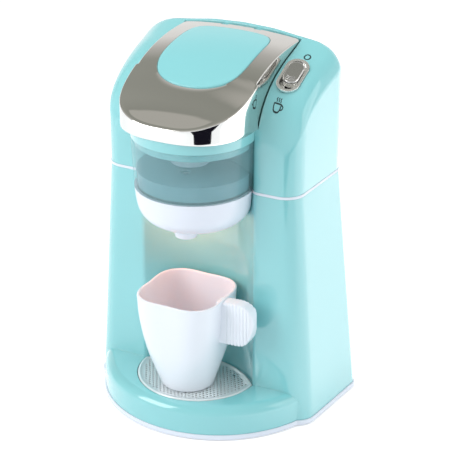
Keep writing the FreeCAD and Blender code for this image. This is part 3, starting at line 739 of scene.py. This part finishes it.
def buildGrille():
    low, high, rim = grille["low"], grille["high"], grille["rim"]
    stations = [(8.0, low), (0.3, low), (0.0, low + 0.3), (0.0, high - 0.3), (0.12, high - 0.08),
                (0.35, high + 0.06), (rim - 0.9, high + 0.06), (rim - 0.5, high - 0.1), (rim, high - 0.5),
                (8.0, high - 0.5)]
    rings = [[(x, y, z) for x, y in grilleOutline(margin)] for margin, z in stations]
    count = len(rings[0])
    mesh = bpy.data.meshes.new("trayGrille")
    bm = bmesh.new()
    verts = [bm.verts.new([c * mm for c in p]) for ring in rings for p in ring]
    for quad in ringFaces(count, len(rings), False):
        bm.faces.new([verts[i] for i in quad])
    bm.faces.new(verts[:count])
    bm.faces.new(verts[-count:])
    bmesh.ops.recalc_face_normals(bm, faces=bm.faces)
    bm.to_mesh(mesh)
    bm.free()
    obj = bpy.data.objects.new("trayGrille", mesh)
    bpy.context.scene.collection.objects.link(obj)
    group = holeField()
    modifier = obj.modifiers.new("holes", "NODES")
    modifier.node_group = group
    for item in group.interface.items_tree:
        if item.in_out == "INPUT" and item.name == "Material":
            modifier[item.identifier] = materials["silver"]
    bpy.context.view_layer.update()
    made = bpy.data.meshes.new_from_object(obj.evaluated_get(bpy.context.evaluated_depsgraph_get()))
    obj.modifiers.clear()
    obj.data = made
    bpy.data.meshes.remove(mesh)
    made.name = "trayGrille"
    bm = bmesh.new()
    bm.from_mesh(made)
    finishPiece(made, bm, "silver", 40.0)
    place(obj, "tray", "silver_plastic", ("tray_grille",))


buildGrille()
print("tray grille built")


# Marks printed beside the switch: a ring, and a cup with steam
marks = {
    "ring": (49.3, 34.5), "ringHalf": (1.75, 2.1), "ringWidth": 0.85,
    "cup": [(45.1, 0.6), (45.2, -1.0), (45.5, -2.1), (46.2, -2.7), (47.6, -2.8), (48.6, -2.6), (49.2, -1.9),
            (49.4, -0.8), (49.45, 0.6), (45.1, 0.6)],
    "ear": [(49.45, 0.2), (50.2, 0.3), (50.8, -0.2), (50.7, -1.0), (50.1, -1.5), (49.3, -1.5)],
    "steam": (46.1, 47.3, 48.5), "steamLow": 1.2, "steamWave": 0.28, "steamPitch": 0.42,
    "cupWidth": 0.62, "earWidth": 0.58, "steamWidth": 0.5, "step": 0.3, "rise": 0.05, "above": 260.0,
}


def strokes():
    (ringX, ringY), (halfX, halfY) = marks["ring"], marks["ringHalf"]
    turns = [math.radians(15 * i) for i in range(25)]
    ring = [(ringX + halfX * math.cos(a), ringY + halfY * math.sin(a)) for a in turns]
    lines = [(ring, marks["ringWidth"]), (marks["cup"], marks["cupWidth"]), (marks["ear"], marks["earWidth"])]
    for x in marks["steam"]:
        waves = [0.6 * k for k in range(9)]
        line = [(x + marks["steamWave"] * math.sin(w * 1.5), marks["steamLow"] + marks["steamPitch"] * w)
                for w in waves]
        lines.append((line, marks["steamWidth"]))
    return lines


def buildMarks():
    cheek = nodes["upper_housing"]
    cheekSkin = BVHTree.FromPolygons([cheek.matrix_world @ v.co for v in cheek.data.vertices],
                                     [tuple(p.vertices) for p in cheek.data.polygons])
    down = Vector((0, 0, -1))
    points = []
    faces = []
    for line, width in strokes():
        fine = []
        for (ax, ay), (bx, by) in zip(line, line[1:]):
            steps = max(1, int(math.dist((ax, ay), (bx, by)) / marks["step"]))
            fine += [(ax + (bx - ax) * k / steps, ay + (by - ay) * k / steps) for k in range(steps)]
        fine.append(line[-1])
        base = len(points)
        for i, (x, y) in enumerate(fine):
            ax, ay = fine[max(i - 1, 0)]
            bx, by = fine[min(i + 1, len(fine) - 1)]
            if i in (0, len(fine) - 1) and math.dist(fine[0], fine[-1]) < 0.01:
                ax, ay = fine[-2]
                bx, by = fine[1]
            length = math.hypot(bx - ax, by - ay)
            nx, ny = -(by - ay) / length, (bx - ax) / length
            for side, lift in ((1, marks["rise"]), (-1, marks["rise"]), (-1, 0.0), (1, 0.0)):
                px, py = x + nx * side * width / 2, y + ny * side * width / 2
                hit, normal, _, _ = cheekSkin.ray_cast(Vector((px, py, marks["above"])) * mm, down)
                points.append(tuple(hit / mm + normal * lift))
        for i in range(len(fine) - 1):
            for k in range(4):
                a = base + 4 * i + k
                b = base + 4 * i + (k + 1) % 4
                faces.append((a, b, b + 4, a + 4))
        if math.dist(fine[0], fine[-1]) > 0.01:
            last = base + 4 * (len(fine) - 1)
            faces.append((base + 3, base + 2, base + 1, base))
            faces.append((last, last + 1, last + 2, last + 3))
    makePiece("switchMarks", points, faces, "print", "housing", "black_plastic", (), 70.0)


buildMarks()


# Grip lines across the front end of the switch button
grip = {
    "home": (48.2, 17.6, 213.9), "tilt": 24.5, "roll": 9.5, "rows": 3, "reach": 3.1, "taper": 0.15,
    "front": -4.6, "pitch": 1.05, "bow": 0.09, "size": 0.3, "tip": 0.12, "flatness": 0.8, "height": 2.2,
    "sides": 8, "stations": 15,
}


def buildGrip():
    turn = (Matrix.Rotation(math.radians(grip["tilt"]), 3, "X")
            @ Matrix.Rotation(math.radians(grip["roll"]), 3, "Y"))
    home = Vector(grip["home"])
    count, stations = grip["sides"], grip["stations"]
    points = []
    faces = []
    for row in range(grip["rows"]):
        base = len(points)
        reach = grip["reach"] - grip["taper"] * row
        v = grip["front"] + grip["pitch"] * row
        for i in range(stations):
            u = -reach + 2 * reach * i / (stations - 1)
            bend = v - grip["bow"] * (reach * reach - u * u)
            size = grip["size"] if 0 < i < stations - 1 else grip["tip"]
            for k in range(count):
                a = 2 * math.pi * k / count
                rise = grip["height"] + size * grip["flatness"] * math.sin(a)
                points.append(tuple(home + turn @ Vector((u, bend + size * math.cos(a), rise))))
        last = base + (stations - 1) * count
        points += [middle(points[base:base + count]), middle(points[last:last + count])]
        faces += [tuple(base + i for i in face) for face in ringFaces(count, stations)]
    makePiece("buttonGrip", points, faces, "button", "slider", "chrome", (), 60.0)


buildGrip()
print("switch marked")


# Housing shells: the same surfaces, shaded as one smooth moulding
def smoothShell(name, node, sharp=34.0):
    source = nodes[node]
    bm = bmesh.new()
    bm.from_mesh(source.data)
    bm.transform(source.matrix_world)
    bmesh.ops.remove_doubles(bm, verts=bm.verts, dist=0.01 * mm)
    mesh = bpy.data.meshes.new(name)
    obj = bpy.data.objects.new(name, mesh)
    finishPiece(mesh, bm, "mint", sharp)
    bpy.context.scene.collection.objects.link(obj)
    place(obj, "housing", "mint", (node,))


smoothShell("upperShell", "upper_housing")
smoothShell("lowerShell", "lower_housing")
print("housing shells smoothed")


# Studio: pale floor, soft lamps, and a dark card at the right that only gloss shows
def card(name, points, code):
    mesh = bpy.data.meshes.new(name)
    mesh.from_pydata([tuple(c * mm for c in p) for p in points], [], [tuple(range(len(points)))])
    obj = bpy.data.objects.new(name, mesh)
    bpy.context.scene.collection.objects.link(obj)
    material = bpy.data.materials.new(name)
    nt = tree(material)
    out = add(nt, "ShaderNodeOutputMaterial")
    shader = add(nt, "ShaderNodeBsdfDiffuse")
    shader.inputs["Color"].default_value = linear(code)
    nt.links.new(shader.outputs[0], out.inputs["Surface"])
    obj.data.materials.append(material)
    return obj


def litOnlyForView(nt):
    # 1 where the camera, a mirror or a clear wall looks, 0 for the light that falls on the object
    path = add(nt, "ShaderNodeLightPath")
    first = add(nt, "ShaderNodeMath", operation="MAXIMUM")
    second = add(nt, "ShaderNodeMath", operation="MAXIMUM")
    nt.links.new(path.outputs["Is Camera Ray"], first.inputs[0])
    nt.links.new(path.outputs["Is Transmission Ray"], first.inputs[1])
    nt.links.new(first.outputs[0], second.inputs[0])
    nt.links.new(path.outputs["Is Glossy Ray"], second.inputs[1])
    return second.outputs[0]


floor = {
    "half": 6000, "tone": "F4F6F8", "viewGlow": 0.35, "glossGlow": 0.9,
    "glossFrom": (("X", 0.04, 0.12), ("Y", -0.2, 0.0)),
}


def whiteFloor():
    half = floor["half"]
    corners = [(-half, -half, 0), (half, -half, 0), (half, half, 0), (-half, half, 0)]
    surface = card("floor", corners, floor["tone"])
    nt = surface.data.materials[0].node_tree
    link = nt.links.new
    glow = add(nt, "ShaderNodeEmission")
    strength = add(nt, "ShaderNodeMath", operation="MULTIPLY")
    strength.inputs[1].default_value = floor["viewGlow"]
    link(litOnlyForView(nt), strength.inputs[0])
    # Brighter at the back right, for what gloss shows there
    spot = add(nt, "ShaderNodeTexCoord")
    parts = add(nt, "ShaderNodeSeparateXYZ")
    link(spot.outputs["Object"], parts.inputs[0])
    masks = []
    for axis, low, high in floor["glossFrom"]:
        ease = add(nt, "ShaderNodeMapRange", interpolation_type="SMOOTHSTEP")
        ease.inputs["From Min"].default_value = low
        ease.inputs["From Max"].default_value = high
        link(parts.outputs[axis], ease.inputs["Value"])
        masks.append(ease.outputs[0])
    corner = add(nt, "ShaderNodeMath", operation="MULTIPLY")
    link(masks[0], corner.inputs[0])
    link(masks[1], corner.inputs[1])
    path = add(nt, "ShaderNodeLightPath")
    gloss = add(nt, "ShaderNodeMath", operation="MULTIPLY")
    link(corner.outputs[0], gloss.inputs[0])
    link(path.outputs["Is Glossy Ray"], gloss.inputs[1])
    total = add(nt, "ShaderNodeMath", operation="MULTIPLY_ADD")
    link(gloss.outputs[0], total.inputs[0])
    total.inputs[1].default_value = floor["glossGlow"]
    link(strength.outputs[0], total.inputs[2])
    link(total.outputs[0], glow.inputs["Strength"])
    both = add(nt, "ShaderNodeAddShader")
    link(nt.nodes["Diffuse BSDF"].outputs[0], both.inputs[0])
    link(glow.outputs[0], both.inputs[1])
    link(both.outputs[0], nt.nodes["Material Output"].inputs["Surface"])


def softLamp(name, place, size, power, inGloss):
    data = bpy.data.lights.new(name, "AREA")
    data.shape = "RECTANGLE"
    data.size = size[0] * mm
    data.size_y = size[1] * mm
    data.energy = power
    lamp = bpy.data.objects.new(name, data)
    lamp.location = Vector(place) * mm
    lamp.rotation_euler = (Vector(place) - Vector(lampAim)).to_track_quat("Z", "Y").to_euler()
    lamp.visible_glossy = inGloss
    bpy.context.scene.collection.objects.link(lamp)


def warmLamp(name, place, power):
    data = bpy.data.lights.new(name, "POINT")
    data.energy = power
    data.color = warmLight["colour"]
    data.shadow_soft_size = warmLight["radius"] * mm
    lamp = bpy.data.objects.new(name, data)
    lamp.location = Vector(place) * mm
    lamp.visible_glossy = False
    bpy.context.scene.collection.objects.link(lamp)


def studioWorld():
    # Even light for the object; gloss sees a room with a grey band high at the back and a paler ceiling
    world = bpy.data.worlds.new("studio")
    bpy.context.scene.world = world
    world.use_nodes = True
    nt = world.node_tree
    nt.nodes.clear()
    link = nt.links.new
    out = add(nt, "ShaderNodeOutputWorld")
    soft = add(nt, "ShaderNodeBackground", Strength=0.62)
    soft.inputs["Color"].default_value = (0.93, 0.97, 1.0, 1.0)
    seen = add(nt, "ShaderNodeBackground", Strength=1.0)
    seen.inputs["Color"].default_value = (1, 1, 1, 1)
    room = add(nt, "ShaderNodeBackground", Strength=1.0)
    place = add(nt, "ShaderNodeTexCoord")
    parts = add(nt, "ShaderNodeSeparateXYZ")
    link(place.outputs["Generated"], parts.inputs[0])
    angle = add(nt, "ShaderNodeMath", operation="ARCTAN2")
    link(parts.outputs["Z"], angle.inputs[0])
    link(parts.outputs["Y"], angle.inputs[1])
    turn = add(nt, "ShaderNodeMath", operation="DIVIDE")
    turn.inputs[1].default_value = math.pi
    link(angle.outputs[0], turn.inputs[0])
    ramp = add(nt, "ShaderNodeValToRGB")
    while len(ramp.color_ramp.elements) < len(roomTones):
        ramp.color_ramp.elements.new(0.5)
    for element, (at, code) in zip(ramp.color_ramp.elements, roomTones):
        element.position = at / 180.0
        element.color = linear(code)
    link(turn.outputs[0], ramp.inputs[0])
    link(ramp.outputs[0], room.inputs["Color"])
    path = add(nt, "ShaderNodeLightPath")
    forMetal = add(nt, "ShaderNodeMixShader")
    forCamera = add(nt, "ShaderNodeMixShader")
    link(path.outputs["Is Glossy Ray"], forMetal.inputs["Fac"])
    link(soft.outputs[0], forMetal.inputs[1])
    link(room.outputs[0], forMetal.inputs[2])
    link(path.outputs["Is Camera Ray"], forCamera.inputs["Fac"])
    link(forMetal.outputs[0], forCamera.inputs[1])
    link(seen.outputs[0], forCamera.inputs[2])
    link(forCamera.outputs[0], out.inputs["Surface"])


# Tone of the room by height above the back horizon, in degrees: 90 is overhead, 180 the front horizon
roomTones = [
    (0, "FFFFFF"), (30, "F4F2F0"), (45, "C8C6C2"), (62, "A6A79F"), (75.5, "9C9D95"), (77.5, "BFBDB6"),
    (120, "BDBBB5"), (150, "E6E6E4"), (178, "FFFFFF"),
]
lampAim = (0, 0, 110)
# Name, place, size, power, and whether gloss shows the lamp
softLamps = (
    ("rightBox", (1000, 200, 520), (800, 800), 2.8, True),
    ("leftBox", (-650, -800, 650), (700, 700), 6.2, True),
    ("topBox", (0, 100, 1100), (900, 700), 3.4, False),
)
warmLight = {"colour": (1.0, 0.2, 0.04), "radius": 8.0}
warmLamps = (("warmBack", (-9.0, -10.0, 116.0), 0.024), ("warmCup", (0, -16.0, 104.0), 0.0015))
whiteFloor()
studioWorld()
for lamp in softLamps:
    softLamp(*lamp)
for lamp in warmLamps:
    warmLamp(*lamp)
darkCard = card("darkCard", [(150, -1000, 2), (1000, -1000, 2), (1000, -330, 2), (150, -330, 2)], "1A1822")
darkCard.visible_camera = darkCard.visible_diffuse = darkCard.visible_shadow = False
print("studio lit")
